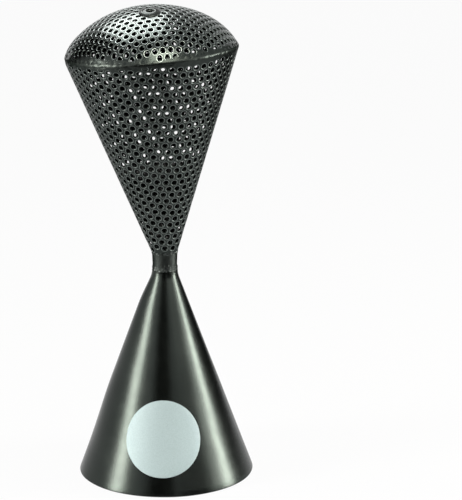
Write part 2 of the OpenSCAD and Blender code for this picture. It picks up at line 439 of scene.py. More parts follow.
def closed(grid):
    """Points and faces of a grid whose last row meets its first, as in a ring."""
    rows, columns = grid.shape[:2]
    return grid.reshape(-1, 3), grid_faces(rows + 1, columns) % (rows * columns)


def capped(grid):
    """Points and triangles of a grid whose first and last rows are each filled by a fan."""
    rows, columns = grid.shape[:2]
    points = np.concatenate([grid.reshape(-1, 3), grid[[0, -1]].mean(1)])
    column = np.arange(columns)
    beside = (column + 1) % columns
    end = (rows - 1) * columns
    first = np.stack([beside, column, np.full(columns, rows * columns)], -1)
    last = np.stack([end + column, end + beside, np.full(columns, rows * columns + 1)], -1)
    return points, np.concatenate([triangles(grid_faces(rows, columns)), first, last])


print("a tube of 2 rows and 6 columns has", len(grid_faces(2, 6)), "faces")


# %% Profiles and waves
def full_turn(steps):
    """Equal steps round a circle, in radians."""
    return np.arange(steps) * TURN / steps


def turned(radius, angle, height):
    """Points round the z axis: x = r cos a, y = r sin a, z = h."""
    return np.stack(np.broadcast_arrays(radius * np.cos(angle), radius * np.sin(angle), height), -1)


def lathe(profile, steps):
    """A grid from a profile of (radius, height) points carried round z. The profile runs anticlockwise
    with the radius to the right, so that faces point out of the material."""
    radius, height = np.array(profile, float).T[:, :, None]
    return turned(radius, full_turn(steps), height)


def arc(centre, radius, start, end, steps):
    """Points on a circle from one angle to another, in degrees."""
    angle = np.radians(np.linspace(start, end, steps))
    return np.array(centre) + radius * np.stack([np.cos(angle), np.sin(angle)], -1)


def ripple(angle, waves, seed):
    """An uneven wave round a circle, within -1 and 1: a sum of sines with seeded phases and weights."""
    draw = np.random.default_rng(seed)
    phase = draw.uniform(0, TURN, len(waves))
    weight = draw.uniform(0.4, 1, len(waves))
    return np.sin(np.multiply.outer(angle, waves) + phase) @ weight / weight.sum()


print("a profile of 5 points in 8 steps is a grid of", lathe(arc((9, 0), 1, 0, 90, 5), 8).shape[:2])


# %% Pieces of the shaker
def make_piece(name, points, faces, finish, node, body="shaker", sharp=40):
    """A mesh of points in millimetres that rides on a body, stands for a node and takes a slot's
    finish. Edges that bend by more than sharp degrees stay crisp."""
    mesh = bpy.data.meshes.new(name)
    mesh.from_pydata((points * MM).tolist(), [], faces.tolist())
    mesh.materials.append(finish)
    mesh.polygons.foreach_set("use_smooth", np.ones(len(mesh.polygons), bool))
    mesh.set_sharp_from_angle(angle=np.radians(sharp))
    piece = bpy.data.objects.new(name, mesh)
    bpy.context.collection.objects.link(piece)
    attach(piece, body)
    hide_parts(node)
    print(f"{name}: {len(points)} points, {len(faces)} faces")
    return piece


# %% [markdown]
# ## Finishes
# Nearly the whole shaker wears a satin coat, a dark nickel with a hint of green. A flat grey would look
# like plastic: real plating has cloudy patches, an uneven gloss and a fine grain that scatters light.
# So the finish is built from noise at three scales on Object coordinates, which stay with the piece
# when it moves. Metal at a glancing angle would mirror the white room, and a dark specular tint holds
# that back, as an absorbing coat does.


# %% Parts of a finish
def noise(tree, scale, detail):
    """The value of a noise texture on Object coordinates, with scale in waves a metre."""
    place = tree.nodes.new("ShaderNodeTexCoord")
    texture = tree.nodes.new("ShaderNodeTexNoise")
    texture.inputs["Scale"].default_value = scale
    texture.inputs["Detail"].default_value = detail
    tree.links.new(place.outputs["Object"], texture.inputs["Vector"])
    return texture.outputs["Fac"]


def tones(tree, factor, dark, light, low=0.3, high=0.7):
    """A colour between two tones, as a factor goes from low to high."""
    ramp = tree.nodes.new("ShaderNodeValToRGB")
    ramp.color_ramp.elements[0].position = low
    ramp.color_ramp.elements[0].color = (*dark, 1)
    ramp.color_ramp.elements[1].position = high
    ramp.color_ramp.elements[1].color = (*light, 1)
    tree.links.new(factor, ramp.inputs["Fac"])
    return ramp.outputs["Color"]


def bumped(tree, shader, height, depth):
    """Bends a shader's normal by a height, with depth in metres."""
    bump = tree.nodes.new("ShaderNodeBump")
    bump.inputs["Distance"].default_value = depth
    tree.links.new(height, bump.inputs["Height"])
    tree.links.new(bump.outputs["Normal"], shader.inputs["Normal"])


def satin_coat(name, dark, light, rough, edge=0.35, grain=(2600, 0.00002), clouds=40):
    """A dark satin plating: cloudy tone and uneven gloss, the share of light that a glancing edge throws
    back, and a grain given by its waves a metre and its depth in metres."""
    finish, tree, shader = new_finish(name)
    shader.inputs["Metallic"].default_value = 1
    shader.inputs["Specular Tint"].default_value = (edge, edge, edge, 1)
    tone = tones(tree, noise(tree, clouds, 4), dark, light)
    gloss = scaled(tree, noise(tree, 5 * clouds, 6), *rough)
    tree.links.new(tone, shader.inputs["Base Color"])
    tree.links.new(gloss, shader.inputs["Roughness"])
    bumped(tree, shader, noise(tree, grain[0], 2), grain[1])
    print("finish:", name)
    return finish


# %% Satin coats
bell_finish = satin_coat(
    "bell_coat",
    dark=(0.028, 0.033, 0.03),
    light=(0.036, 0.042, 0.038),
    rough=(0.2, 0.3),
    edge=0.8,
    grain=(1300, 0.00005),
)
neck_finish = satin_coat(
    "neck_coat",
    dark=(0.03, 0.035, 0.032),
    light=(0.062, 0.07, 0.065),
    rough=(0.24, 0.42),
    edge=0.1,
    grain=(800, 0.00014),
    clouds=150,
)
weld_finish = satin_coat(
    "weld_coat",
    dark=(0.005, 0.006, 0.006),
    light=(0.1, 0.112, 0.106),
    rough=(0.3, 0.6),
    edge=0.2,
    grain=(1100, 0.0002),
    clouds=900,
)
crown_finish = satin_coat(
    "crown_coat",
    dark=(0.026, 0.03, 0.028),
    light=(0.042, 0.047, 0.044),
    rough=(0.22, 0.34),
    edge=0.8,
)
rim_finish = satin_coat(
    "rim_coat",
    dark=(0.029, 0.034, 0.031),
    light=(0.04, 0.046, 0.042),
    rough=(0.28, 0.42),
    grain=(1200, 0.00002),
)

# %% [markdown]
# ## The bell
# The bell is spun or rolled from one sheet, with a deburred round edge at the mouth, and at the top it
# flows into the neck in a hollow curve. A cone primitive would give only the straight part. A profile
# carried round the axis gives the edge and the flow too.

# %% The bell's profile
bell_flow = 14
corner_rise = 0.5
edge_r = sheet / 2
edge_rows = 9
cone_rows = 40
flow_rows = 10
bell_half = np.arctan((mouth_r - bell_top_r) / (bell_h + corner_rise))
bell_degrees = np.degrees(bell_half)
slope = np.array([-np.sin(bell_half), np.cos(bell_half)])
outward = np.array([np.cos(bell_half), np.sin(bell_half)])
edge_c = np.array([mouth_r - edge_r, edge_r])
cone_foot = edge_c + edge_r * outward
flow_c_r = bell_top_r + bell_flow
flow_foot_r = flow_c_r - bell_flow * outward[0]
flow_foot = cone_foot + (cone_foot[0] - flow_foot_r) / np.sin(bell_half) * slope
bell_end = flow_foot[1] + bell_flow * outward[1]
flow_c = np.array([flow_c_r, bell_end])
outer = np.concatenate([
    arc(edge_c, edge_r, bell_degrees - 180, bell_degrees, edge_rows),
    np.linspace(cone_foot, flow_foot, cone_rows)[1:-1],
    arc(flow_c, bell_flow, 180 + bell_degrees, 180, flow_rows),
])
inner = np.concatenate([
    arc(flow_c, bell_flow + sheet, 180, 180 + bell_degrees, flow_rows),
    np.linspace(flow_foot - sheet * outward, cone_foot - sheet * outward, cone_rows)[1:-1],
])
inner[:, 0] = np.maximum(inner[:, 0], neck_r)
print(f"bell: half-angle {bell_degrees:.1f} degrees, meets the neck at {bell_end:.1f} mm")

# %% [markdown]
# ## A bell out of true
# No rolled sheet is quite round. Shallow waves make the bell's long highlights run a little unevenly,
# and on the left its wall has a slight belly. A Displace modifier could push the sheet about, but the
# disc on it would stay behind. A function can move both in the same way.

# %% Spin the bell
bell_steps = 256
bell_waver = 0.12
bell_belly = 1.5
belly_low = 0.12
belly_rise = 0.33
belly_fall = 0.17


def out_of_true(points):
    """Points on the bell moved out by a sum of shallow waves and a belly on the left, which rises above
    the mouth and fades at the neck: belly * cos^4(angle from -X) * smooth steps of the height."""
    angle = np.arctan2(points[..., 1], points[..., 0])
    share = np.clip(points[..., 2] / bell_end, 0, 1)
    waves = bell_waver * ripple(angle + 2 * share, [3, 5, 8, 13], seed=4) * (1 - share)
    height = smooth((share - belly_low) / belly_rise) * smooth((1 - share) / belly_fall)
    belly = bell_belly * np.maximum(0, -np.cos(angle)) ** 4 * height
    shift = (waves + belly) / np.hypot(points[..., 0], points[..., 1])
    return points * np.stack([1 + shift, 1 + shift, np.ones_like(shift)], -1)


bell, bell_faces = closed(lathe(np.concatenate([outer, inner]), bell_steps))
make_piece("bell", out_of_true(bell), bell_faces, bell_finish, "bell_cone")

# %% [markdown]
# ## The neck
# A turned sleeve joins both cones, and a plug in its upper end keeps the shot out of the bell. Both are
# lathe work. A cylinder with a bevel would do, but a profile with small chamfers is as short, and it
# also opens the sleeve a little at the top, where it was widened to meet the basket.

# %% Turn the sleeve and its plug
neck_steps = 64
chamfer = 0.4
neck_flare = 0.4
sleeve_low = bell_h - neck_sink
sleeve_high = neck_top + neck_sink
sleeve_profile = [
    (bore_r, sleeve_low + chamfer),
    (bore_r + chamfer, sleeve_low),
    (neck_r - chamfer, sleeve_low),
    (neck_r, sleeve_low + chamfer),
    (neck_r, bell_h),
    (neck_r + neck_flare / 4, (bell_h + neck_top) / 2),
    (neck_r + neck_flare, neck_top - chamfer),
    (neck_r - chamfer, neck_top + chamfer),
    (neck_r - chamfer, sleeve_high - chamfer),
    (bore_r + chamfer, sleeve_high),
    (bore_r, sleeve_high - chamfer),
]
sleeve, sleeve_faces = closed(lathe(sleeve_profile, neck_steps))
make_piece("neck_tube", sleeve, sleeve_faces, neck_finish, "neck_sleeve")

plug_points = node_points("neck_plug")
plug_low = plug_points[:, 2].min()
plug_high = plug_points[:, 2].max()
plug_r = plug_points[:, 0].max()
plug_profile = [
    (plug_r - chamfer, plug_low),
    (plug_r, plug_low + chamfer),
    (plug_r, plug_high - chamfer),
    (plug_r - chamfer, plug_high),
]
bare_steel = satin_coat("bare_steel", (0.3, 0.3, 0.29), (0.45, 0.45, 0.43), (0.3, 0.5))
plug, plug_faces = capped(lathe(plug_profile, neck_steps))
make_piece("plug", plug, plug_faces, bare_steel, "neck_plug")

# %% [markdown]
# ## The neck welds
# Both cones are welded to the sleeve by hand. A torus would look machined: a real bead has ripples and
# pits where the pool froze, and it runs further in some places than in others. So each bead is a curve
# between two edges that wander with the angle, and small random dimples roughen its face.

# %% How a bead is laid
bead_rows = 18
bead_steps = 160
bead_sink = 0.25
bead_root_r = bore_r + 1
bead_angle = full_turn(bead_steps)
weld_sharp = 80


def wander(size, waves, seed):
    """A wandering edge: a wave of that size for each angle of a bead."""
    return size * ripple(bead_angle, waves, seed)


def bead_edge(radius, height):
    """An edge of a bead, from a radius and a height that may each be a number or a wave."""
    return np.stack(np.broadcast_arrays(radius, height, bead_angle)[:2], -1)


def dimples(rows, columns, seed):
    """Seeded random numbers, each the mean of four neighbours, so that the bumps have some width."""
    field = np.random.default_rng(seed).normal(size=(rows, columns))
    return (field + np.roll(field, 1, 0) + np.roll(field, 1, 1) + np.roll(field, (1, 1), (0, 1))) / 4


def bead(low, bulge, high, rough, seed):
    """A bead round z on three edges. Its face is (1-t)^2 low + 2t(1-t) bulge + t^2 high with dimples,
    and its root lies inside the metal."""
    t = np.linspace(0, 1, bead_rows)[:, None, None]
    face = (1 - t) ** 2 * low + 2 * t * (1 - t) * bulge + t**2 * high
    face[..., 0] += rough * dimples(bead_rows, bead_steps, seed)
    root_heights = np.stack([high[:, 1], low[:, 1]])
    root = np.stack([np.full((2, bead_steps), bead_root_r), root_heights], -1)
    radius, height = np.moveaxis(np.concatenate([face, root]), -1, 0)
    return closed(turned(radius, bead_angle, height))


print("a bead has", bead_steps, "steps round the neck")

# %% Lay the neck beads
lower_foot = bell_end - 0.6
lower_crest = bell_end + 2.4
lower_head = bell_end + 5.6
lower_bulge_r = neck_r + 0.15
lower_bead, lower_faces = bead(
    bead_edge(bell_top_r - bead_sink, lower_foot + wander(0.9, [3, 7, 12], 1)),
    bead_edge(
        lower_bulge_r + wander(0.35, [5, 11, 19, 27], 2),
        lower_crest + wander(0.5, [4, 9, 17], 3),
    ),
    bead_edge(neck_r - bead_sink, lower_head + wander(0.9, [3, 6, 11], 5)),
    rough=0.3,
    seed=31,
)
make_piece(
    "lower_bead", lower_bead, lower_faces, weld_finish, "neck_lower_weld", sharp=weld_sharp
)

upper_foot = -2.2
upper_crest = -0.4
upper_head = 0.9 + wander(0.8, [2, 5, 9, 14], 6)
upper_foot_r = neck_r + neck_flare / 2
upper_bulge_r = basket_r + 0.2
upper_bead, upper_faces = bead(
    bead_edge(upper_foot_r - bead_sink, upper_foot + wander(0.5, [3, 7, 12], 7)),
    bead_edge(
        upper_bulge_r + wander(0.25, [5, 11, 19], 8),
        upper_crest + wander(0.4, [4, 9, 17], 9),
    ),
    bead_edge(basket_r - bead_sink + upper_head * np.tan(basket_half), upper_head),
    rough=0.2,
    seed=32,
)
upper_bead = from_basket(upper_bead)
make_piece(
    "upper_bead", upper_bead, upper_faces, weld_finish, "neck_upper_weld", sharp=weld_sharp
)

# %% [markdown]
# ## Perforated sheet
# Basket and dome are made of the same stock: steel sheet with round holes in staggered rows. Cutting a
# thousand holes with a Boolean is slow and leaves long thin faces. Here each hole brings its own cell
# instead. A six-sided cell round every hole tiles the plane, and inside it rings of points lead over
# the rounded lip, down the hole's wall and back to the cell's edge on the other face. The flat tiling
# is cut to the blank by moving points beyond its edge onto the edge, and only then is it rolled or
# pressed into shape.

# %% A tiled blank
hole_pitch = 5
hole_r = 1.32
spokes = 12
lip_rings = [
    (hole_r + 0.92, 0),
    (hole_r + 0.7, -0.03),
    (hole_r + 0.5, 0.05),
    (hole_r, 0.45),
    (hole_r, sheet),
]
# For each lip ring: 1 gives the crest a pale tint, partly a thin coat and partly a painted highlight, and -1 puts
# painted shade on the hole's wall.
lip_highlight_and_shade = np.array([0.4, 1, 0.4, -1, -1])


def hole_places(lattice, reach):
    """Places start + i row + j column for whole i and j, with lattice = start, row, column."""
    start, row, column = np.array(lattice)
    count = int(2 * reach / hole_pitch)
    i, j = np.mgrid[-count : count + 1, -count : count + 1].reshape(2, -1, 1)
    return start + i * row + j * column


def cell_border(lattice):
    """The six-sided cell round a hole: its corners and the middles of its sides, which neighbours
    share. In a plane of equal triangles it is regular, and the same shares of row and column make it
    fit any lattice."""
    _, row, column = np.array(lattice)
    spoke = full_turn(spokes)
    reach = np.where(np.arange(spokes) % 2, 1 / np.sqrt(3), 1 / 2)
    along = 2 * reach * np.sin(spoke) / np.sqrt(3)
    across = reach * np.cos(spoke) - along / 2
    return np.outer(across, row) + np.outer(along, column)


print(f"holes: {2 * hole_r:.2f} mm wide, {len(lip_rings)} rings of {spokes} points each")

# %% [markdown]
# ## Cells into a sheet
# Neighbouring cells touch along their borders, and a closed sheet needs one point where they do.
# Blender could merge doubles afterwards, but that would also join what only lies close. So equal border
# points get one number here, before any face is made. A side that only one cell has lies on the
# blank's edge, and there a wall joins the outer face to the inner one.

# %% Borders and walls
least_area = 1e-5


def shared_border(border):
    """The different points of all cells' borders, and each cell's own points by number. Points that
    agree to a ten-thousandth of a millimetre count as one."""
    key = np.round(border.reshape(-1, 2) * 1e4).astype(np.int64)
    _, first, shared = np.unique(key, axis=0, return_index=True, return_inverse=True)
    return border.reshape(-1, 2)[first], shared.reshape(border.shape[:2])


def edge_wall(on_rim, under):
    """Quads from each side that only one cell has to the points under it, which are numbered on."""
    ends = np.stack([on_rim, np.roll(on_rim, -1, -1)], -1).reshape(-1, 2)
    ends = ends[ends[:, 0] != ends[:, 1]]
    _, place, count = np.unique(np.sort(ends, -1), axis=0, return_index=True, return_counts=True)
    a, b = ends[place[count == 1]].T
    return np.stack([a, a + under, b + under, b], -1)


def with_area(points, faces):
    """The triangles that trimming has not squeezed to nothing."""
    side = points[np.roll(faces, -1, -1)] - points[faces]
    area = np.linalg.norm(np.cross(side[:, 0], side[:, 1]), axis=-1)
    return faces[area > least_area]


one_cell = np.arange(spokes)[None]
print("a cell alone has", len(edge_wall(one_cell, spokes)), "faces in its wall")


# %% Make a sheet
def perforated(lattice, centres, open_hole, trim, form):
    """A sheet of cells. Each centre's cell has a hole where open_hole is true and is plain elsewhere.
    trim moves flat points onto the blank, and form(flat points, depth) shapes the sheet. Returns points,
    triangles and each point's place: 1 on a lip, 0 on the outer face, -1 on the inner face."""
    cell = cell_border(lattice)
    circle = cell / np.linalg.norm(cell, axis=-1, keepdims=True)
    rim, on_rim = shared_border(trim(centres[:, None] + cell))
    plain = trim(centres[~open_hole])
    radii, depths = np.array(lip_rings, float).T
    rings = centres[open_hole][:, None, None] + radii[:, None, None] * circle
    ring_depth = np.broadcast_to(depths[:, None], rings.shape[:-1]).ravel()
    ring_highlight_and_shade = np.broadcast_to(lip_highlight_and_shade[:, None], rings.shape[:-1]).ravel()
    ring_count = rings.shape[:-1]
    rings = rings.reshape(-1, 2)

    parts = [(rim, 0), (rim, sheet), (rings, ring_depth), (plain, 0), (plain, sheet)]
    points = np.concatenate([form(flat, np.broadcast_to(depth, len(flat))) for flat, depth in parts])
    under, ring_start, top_start, low_start = np.cumsum([len(flat) for flat, _ in parts])[:4]
    # These values drive the finish: 1 on a lip's crest gives a pale tint, partly a painted highlight, and -1 gives
    # painted shade on the inner face and the holes' walls.
    lip = np.zeros(len(points))
    lip[under:ring_start] = -1
    lip[ring_start:top_start] = ring_highlight_and_shade
    lip[low_start:] = -1

    inside = on_rim[open_hole][:, None]
    ring_index = ring_start + np.arange(len(rings)).reshape(ring_count)
    ladder = np.concatenate([inside, ring_index, inside + under], 1)
    step = np.roll(ladder, -1, -1)
    bands = np.stack([ladder[:, :-1], step[:, :-1], step[:, 1:], ladder[:, 1:]], -1).reshape(-1, 4)
    flat_rim = on_rim[~open_hole]
    flat_next = np.roll(flat_rim, -1, -1)
    hub = np.broadcast_to(np.arange(len(plain))[:, None], flat_rim.shape)
    top = np.stack([hub + top_start, flat_rim, flat_next], -1).reshape(-1, 3)
    bottom = np.stack([hub + low_start, flat_next + under, flat_rim + under], -1).reshape(-1, 3)
    wall = triangles(edge_wall(on_rim, under))
    faces = np.concatenate([triangles(bands), top, bottom, wall])
    return points, with_area(points, faces), lip


def make_sheet(name, sheet_parts, finish, node):
    """A perforated piece, with each point's place on the sheet kept as an attribute. From it the finish
    paints pale lips, partly a painted highlight, and painted shade on the inner face.
    """
    points, faces, lip = sheet_parts
    placed = from_basket(hand_made(points))
    piece = make_piece(name, placed, faces, finish, node, sharp=70)
    shares = piece.data.attributes.new("lip", "FLOAT", "POINT")
    shares.data.foreach_set("value", lip.astype(np.float32))


# %% [markdown]
# ## The finish of the perforated sheet
# Round every hole the photograph shows a paler ring: the lip is rounded and catches the light, and its coat
# is thin. The shape of the lip gives part of that ring. The rest is painted into the colour: a pale tint on
# each lip's crest, partly the thin coat and partly a painted highlight. The sheet's inner face and the holes'
# walls get a near-black tint, a painted shade for the dark inside of the shaker. A texture could add both,
# but it would have to line up with a thousand holes. The finish takes them from the piece's own lip
# attribute instead, so that they sit on each lip exactly. The dome looks shinier than the basket, so each
# has its own coat.

# %% Coat with pale lips
# The pale lip tint is partly the lips' thin coat and partly a painted highlight. The near-black inside tint is
# painted shade on the sheet's inner face and the holes' walls.
pale_lip_and_painted_highlight = (0.36, 0.405, 0.385)
lip_share = 0.8
painted_inside_shade = (0.002, 0.0023, 0.0023)


def tinted(tree, factor, coat, tint):
    """A coat that goes over to a tint as a factor goes from 0 to 1."""
    mix = tree.nodes.new("ShaderNodeMix")
    mix.data_type = "RGBA"
    tree.links.new(factor, mix.inputs["Factor"])
    tree.links.new(coat, mix.inputs[6])
    mix.inputs[7].default_value = (*tint, 1)
    return mix.outputs[2]


def perforated_coat(name, rough, edge):
    """A satin coat with pale lips, partly a thin coat and partly a painted highlight, and painted shade
    on its inner face.
    """
    finish = satin_coat(name, (0.024, 0.029, 0.0265), (0.036, 0.042, 0.039), rough, edge)
    tree = finish.node_tree
    shader = tree.nodes["Principled BSDF"]
    lip_value = tree.nodes.new("ShaderNodeAttribute")
    lip_value.attribute_name = "lip"
    coat = shader.inputs["Base Color"].links[0].from_socket
    # The pale tint on each lip's crest: partly the thin coat, partly a painted highlight.
    lip_coat_and_highlight = scaled(tree, lip_value.outputs["Fac"], 0, lip_share, start=0.5)
    coat = tinted(tree, lip_coat_and_highlight, coat, pale_lip_and_painted_highlight)
    # Painted shade: the sheet's inner face and the holes' walls go over to a near-black tint.
    inside = scaled(tree, lip_value.outputs["Fac"], 1, 0, start=-1, end=0)
    coat = tinted(tree, inside, coat, painted_inside_shade)
    tree.links.new(coat, shader.inputs["Base Color"])
    return finish


basket_finish = perforated_coat("basket_coat", (0.24, 0.36), 0.6)
dome_finish = perforated_coat("dome_coat", (0.15, 0.24), 0.9)

# %% [markdown]
# ## The basket
# The basket's blank is a sector of a circle, rolled until its straight edges meet in a seam at the
# back. The holes could be set out on the finished cone, but then their rows would close up towards the
# neck. Rolling keeps every distance along the sheet, so a flat point at distance d and angle p from the
# sector's tip lands at distance d from the cone's tip, p / sin(half-angle) round the axis. The rows run
# square to the sector's middle, which faces the right of the front, so they climb and cross the way
# the photograph shows. Their spacing was measured there too, by laying the seen holes out flat, and it
# is a little uneven.

# %% The basket's blank
basket_turn = np.radians(31)
basket_lattice = [(-18.533, 97.781), (5.196, 0.01), (2.854, 4.19)]
least_web = 0.68
hole_margin = hole_r + least_web
tip_to_foot = basket_r / np.sin(basket_half)
tip_to_end = cone_end[0] / np.sin(basket_half)
sector_half = np.pi * np.sin(basket_half)
basket_front = -np.pi / 2 + basket_turn


def polar(flat):
    """Distance from the sector's tip, and angle from its middle."""
    return np.hypot(flat[..., 0], flat[..., 1]), np.arctan2(flat[..., 0], flat[..., 1])


def trim_sector(flat):
    """Moves flat points that lie beyond the sector onto its edge."""
    distance, angle = polar(flat)
    distance = np.clip(distance, tip_to_foot, tip_to_end)
    angle = np.clip(angle, -sector_half, sector_half)
    return np.stack([distance * np.sin(angle), distance * np.cos(angle)], -1)


def roll_cone(flat, depth):
    """The flat sector rolled into the basket, with depth measured inwards through the sheet."""
    distance, angle = polar(flat)
    azimuth = basket_front + angle / np.sin(basket_half)
    radius = distance * np.sin(basket_half) - depth * np.cos(basket_half)
    height = (distance - tip_to_foot) * np.cos(basket_half) + depth * np.sin(basket_half)
    return turned(radius, azimuth, height)


blank_degrees = 2 * np.degrees(sector_half)
print(f"blank: radii {tip_to_foot:.1f} and {tip_to_end:.1f} mm, {blank_degrees:.1f} degrees")

# %% Roll the basket
cells = hole_places(basket_lattice, tip_to_end)
distance, angle = polar(cells)
to_seam = distance * np.sin(np.clip(sector_half - np.abs(angle), -np.pi / 2, np.pi / 2))
to_edge = np.minimum(np.minimum(distance - tip_to_foot, tip_to_end - distance), to_seam)
near = to_edge > -hole_pitch
cells, distance, angle, to_seam, to_edge = (
    values[near] for values in (cells, distance, angle, to_seam, to_edge)
)
drilled = to_edge > hole_margin
basket = perforated(basket_lattice, cells, drilled, trim_sector, roll_cone)
make_sheet("basket", basket, basket_finish, "basket_cone")
print("holes in the basket:", drilled.sum())
filled = (distance > tip_to_end - hole_margin) & (to_seam > hole_margin)
azimuth = basket_front + angle / np.sin(basket_half)
basket_pits = np.stack([azimuth, distance - tip_to_end], -1)[filled]

# %% [markdown]
# ## The dome
# The lid is pressed from a flat disc of the same stock. A grid of the globe would crowd the holes at
# the top. Here a flat point keeps its distance from the top along the sphere, which spreads the pattern
# evenly, as a press does. The hole for the threaded socket is cut the same way as the rim, by moving
# points onto its circle.

# %% The dome's blank
dome_lattice = [(4.524, 1.209), (5.104, 0.938), (2.055, 4.619)]
dome_reach = dome_r * np.arcsin(dome_edge_r / dome_r)
crown_bend = np.arccos(crown_up[2])
crown_flat = dome_r * crown_bend * crown_up[:2] / np.sin(crown_bend)
least = hole_r / 100


def trim_disc(flat):
    """Moves flat points beyond the rim onto it, and points inside the socket's hole onto that."""
    distance = np.linalg.norm(flat, axis=-1, keepdims=True)
    flat = flat * np.minimum(1, dome_reach / np.maximum(distance, least))
    off_crown = flat - crown_flat
    reach = np.maximum(np.linalg.norm(off_crown, axis=-1, keepdims=True), least)
    return crown_flat + off_crown * np.maximum(1, socket_r / reach)


def press_dome(flat, depth):
    """The flat disc on the sphere, each point as far from the top as it was from the middle."""
    bend = np.hypot(flat[..., 0], flat[..., 1]) / dome_r
    azimuth = np.arctan2(flat[..., 1], flat[..., 0])
    radius = (dome_r - depth) * np.sin(bend)
    height = dome_z + (dome_r - depth) * np.cos(bend)
    return turned(radius, azimuth, height)


print(f"blank: a disc {2 * dome_reach:.1f} mm across")

# %% Press the dome
cells = hole_places(dome_lattice, dome_reach)
distance = np.linalg.norm(cells, axis=-1)
crown_gap = np.linalg.norm(cells - crown_flat, axis=-1)
near = (distance < dome_reach + hole_pitch) & (crown_gap > socket_r - hole_pitch)
cells, distance, crown_gap = (values[near] for values in (cells, distance, crown_gap))
drilled = (distance < dome_reach - hole_margin) & (crown_gap > seat_r + hole_r)
dome = perforated(dome_lattice, cells, drilled, trim_disc, press_dome)
make_sheet("dome", dome, dome_finish, "dome_cap")
print("holes in the dome:", drilled.sum())
filled = distance > dome_reach - hole_margin
dome_pits = np.stack([np.arctan2(cells[:, 1], cells[:, 0]), dome_reach - distance], -1)[filled]

# %% [markdown]
# ## The rim weld
# Basket and dome meet in a weld that was ground down to the ridge. The grinder left it smooth but
# uneven, and the weld flowed over the nearest holes, so the plain band wanders and a shallow pit marks
# each filled hole. A swept circle would be too even. Here the band follows the cone, the ridge and the
# dome in one curve, both of its edges wander, and the pits lie where the two hole patterns go on under
# the weld.

# %% The rim's curve
rim_length = ridge_r * (dome_start + basket_half)


def rim_curve(s):
    """Point and outward normal of the rim at a distance s past the end of the cone: the cone below
    it, the ground corner, and the dome above."""
    corner = np.clip(s / ridge_r - basket_half, -basket_half, dome_start)
    above = dome_start + np.maximum(s - rim_length, 0) / dome_r
    normal_angle = np.where(s > rim_length, above, corner)
    normal = np.stack([np.cos(normal_angle), np.sin(normal_angle)], -1)
    on_cone = cone_end + np.minimum(s, 0)[..., None] * uphill
    on_corner = ridge_c + ridge_r * normal
    on_dome = np.array([0, dome_z]) + dome_r * normal
    low = (s < 0)[..., None]
    high = (s > rim_length)[..., None]
    return np.where(low, on_cone, np.where(high, on_dome, on_corner)), normal


print(f"the ridge's corner is {rim_length:.1f} mm long")

# %% Grind the rim
rim_steps = 480
rim_rows = 32
band = 2.6
low_waver = 1.3
high_waver = 1.5
pit_r = 1.5
pit_depth = 0.2
swell_height = 0.16
swell_waver = 0.06
swell_sink = 0.1
root_edge = 0.5
root_middle = 0.4
rim_angle = full_turn(rim_steps)
reach_down = band + low_waver * ripple(rim_angle, [3, 7, 13, 22, 37], 11)
reach_up = band + high_waver * ripple(rim_angle, [2, 5, 11, 19, 41], 12)
t = np.linspace(0, 1, rim_rows)[:, None]
along_rim = -reach_down + t * (rim_length + reach_down + reach_up)
face_point, face_normal = rim_curve(along_rim)

pits = np.concatenate([basket_pits, dome_pits + (0, rim_length)])
around_rim = cone_end[0] * ((rim_angle[:, None] - pits[:, 0] + np.pi) % TURN - np.pi)
to_pit = np.hypot(around_rim, along_rim[..., None] - pits[:, 1]).min(-1)
pit = pit_depth * (1 + np.cos(np.pi * np.minimum(to_pit / pit_r, 1))) / 2
uneven = swell_height + swell_waver * ripple(rim_angle, [9, 17, 31], 13)
swell = (1 - (2 * t - 1) ** 6) * uneven - swell_sink - pit
root = root_edge + root_middle * np.sin(np.pi * t)
outer_face = face_point + face_normal * swell[..., None]
inner_face = (face_point - face_normal * root[..., None])[::-1]
radius, height = np.moveaxis(np.concatenate([outer_face, inner_face]), -1, 0)
rim, rim_faces = closed(turned(radius, rim_angle, height))
rim = from_basket(hand_made(rim))
make_piece("rim_bead", rim, rim_faces, rim_finish, "rim_weld", sharp=weld_sharp)

# %% [markdown]
# ## The seam
# Where the rolled sheet meets itself, a low bead runs up the basket, away from the front. A curve with
# a round section could follow the cone. A strip drawn on the flat blank, across the sector's straight
# edge, and rolled up with it lies on the sheet by itself. It has a round back, and small ripples along
# it mark where the weld pool moved on.

# %% Weld the seam
seam_rows = 220
seam_columns = 9
seam_w = 3
seam_h = 0.8
seam_root = 0.15
seam_wave = 9
seam_waver = 0.25
pool_step = 1.7
pool_bow = 1.2
pool_swell = 0.25
along = np.linspace(tip_to_foot, tip_to_end, seam_rows)[:, None]
across = np.linspace(-1, 1, seam_columns)
pool = 1 - pool_swell + pool_swell * np.sin(along * TURN / pool_step + pool_bow * across**2)
width = seam_w / 2 * (1 + seam_waver * ripple(along[:, 0] / seam_wave, [1, 2, 5], 21)[:, None])
seam_angle = sector_half + across * width / along
seam_flat = along[..., None] * np.stack([np.sin(seam_angle), np.cos(seam_angle)], -1)
seam_depth = seam_root - (seam_h + seam_root) * np.cos(across * np.pi / 2) * pool
seam_face = roll_cone(seam_flat, seam_depth)
seam_back = roll_cone(seam_flat, sheet / 2)[:, ::-1]
seam, seam_faces = capped(np.concatenate([seam_face, seam_back], 1))
seam = from_basket(seam)
make_piece("seam_bead", seam, seam_faces, weld_finish, "basket_seam_weld", sharp=weld_sharp)

# %% [markdown]
# ## The crown socket
# A threaded insert sits in the dome, in a flat seat ring, so that two shakers can be screwed together.
# The thread could be a bump in the material, but it would vanish up close. It is a surface instead: the
# bore's radius rises and falls once each pitch, and a full turn moves it on by one pitch, which makes
# the helix.

# %% Turn the seat
seat_edge = 0.2
seat_land = 0.8
seat_profile = [
    (socket_r, dome_r - sheet),
    (seat_r, dome_r - sheet),
    (seat_r - seat_edge, dome_r + seat_edge / 2),
    (socket_r + seat_land, crown_top - seat_edge),
    (socket_r, crown_top),
]
seat, seat_faces = closed(lathe(seat_profile, neck_steps))
seat = from_crown(seat)
make_piece("seat_ring", seat, seat_faces, crown_finish, "crown_seat", sharp=30)

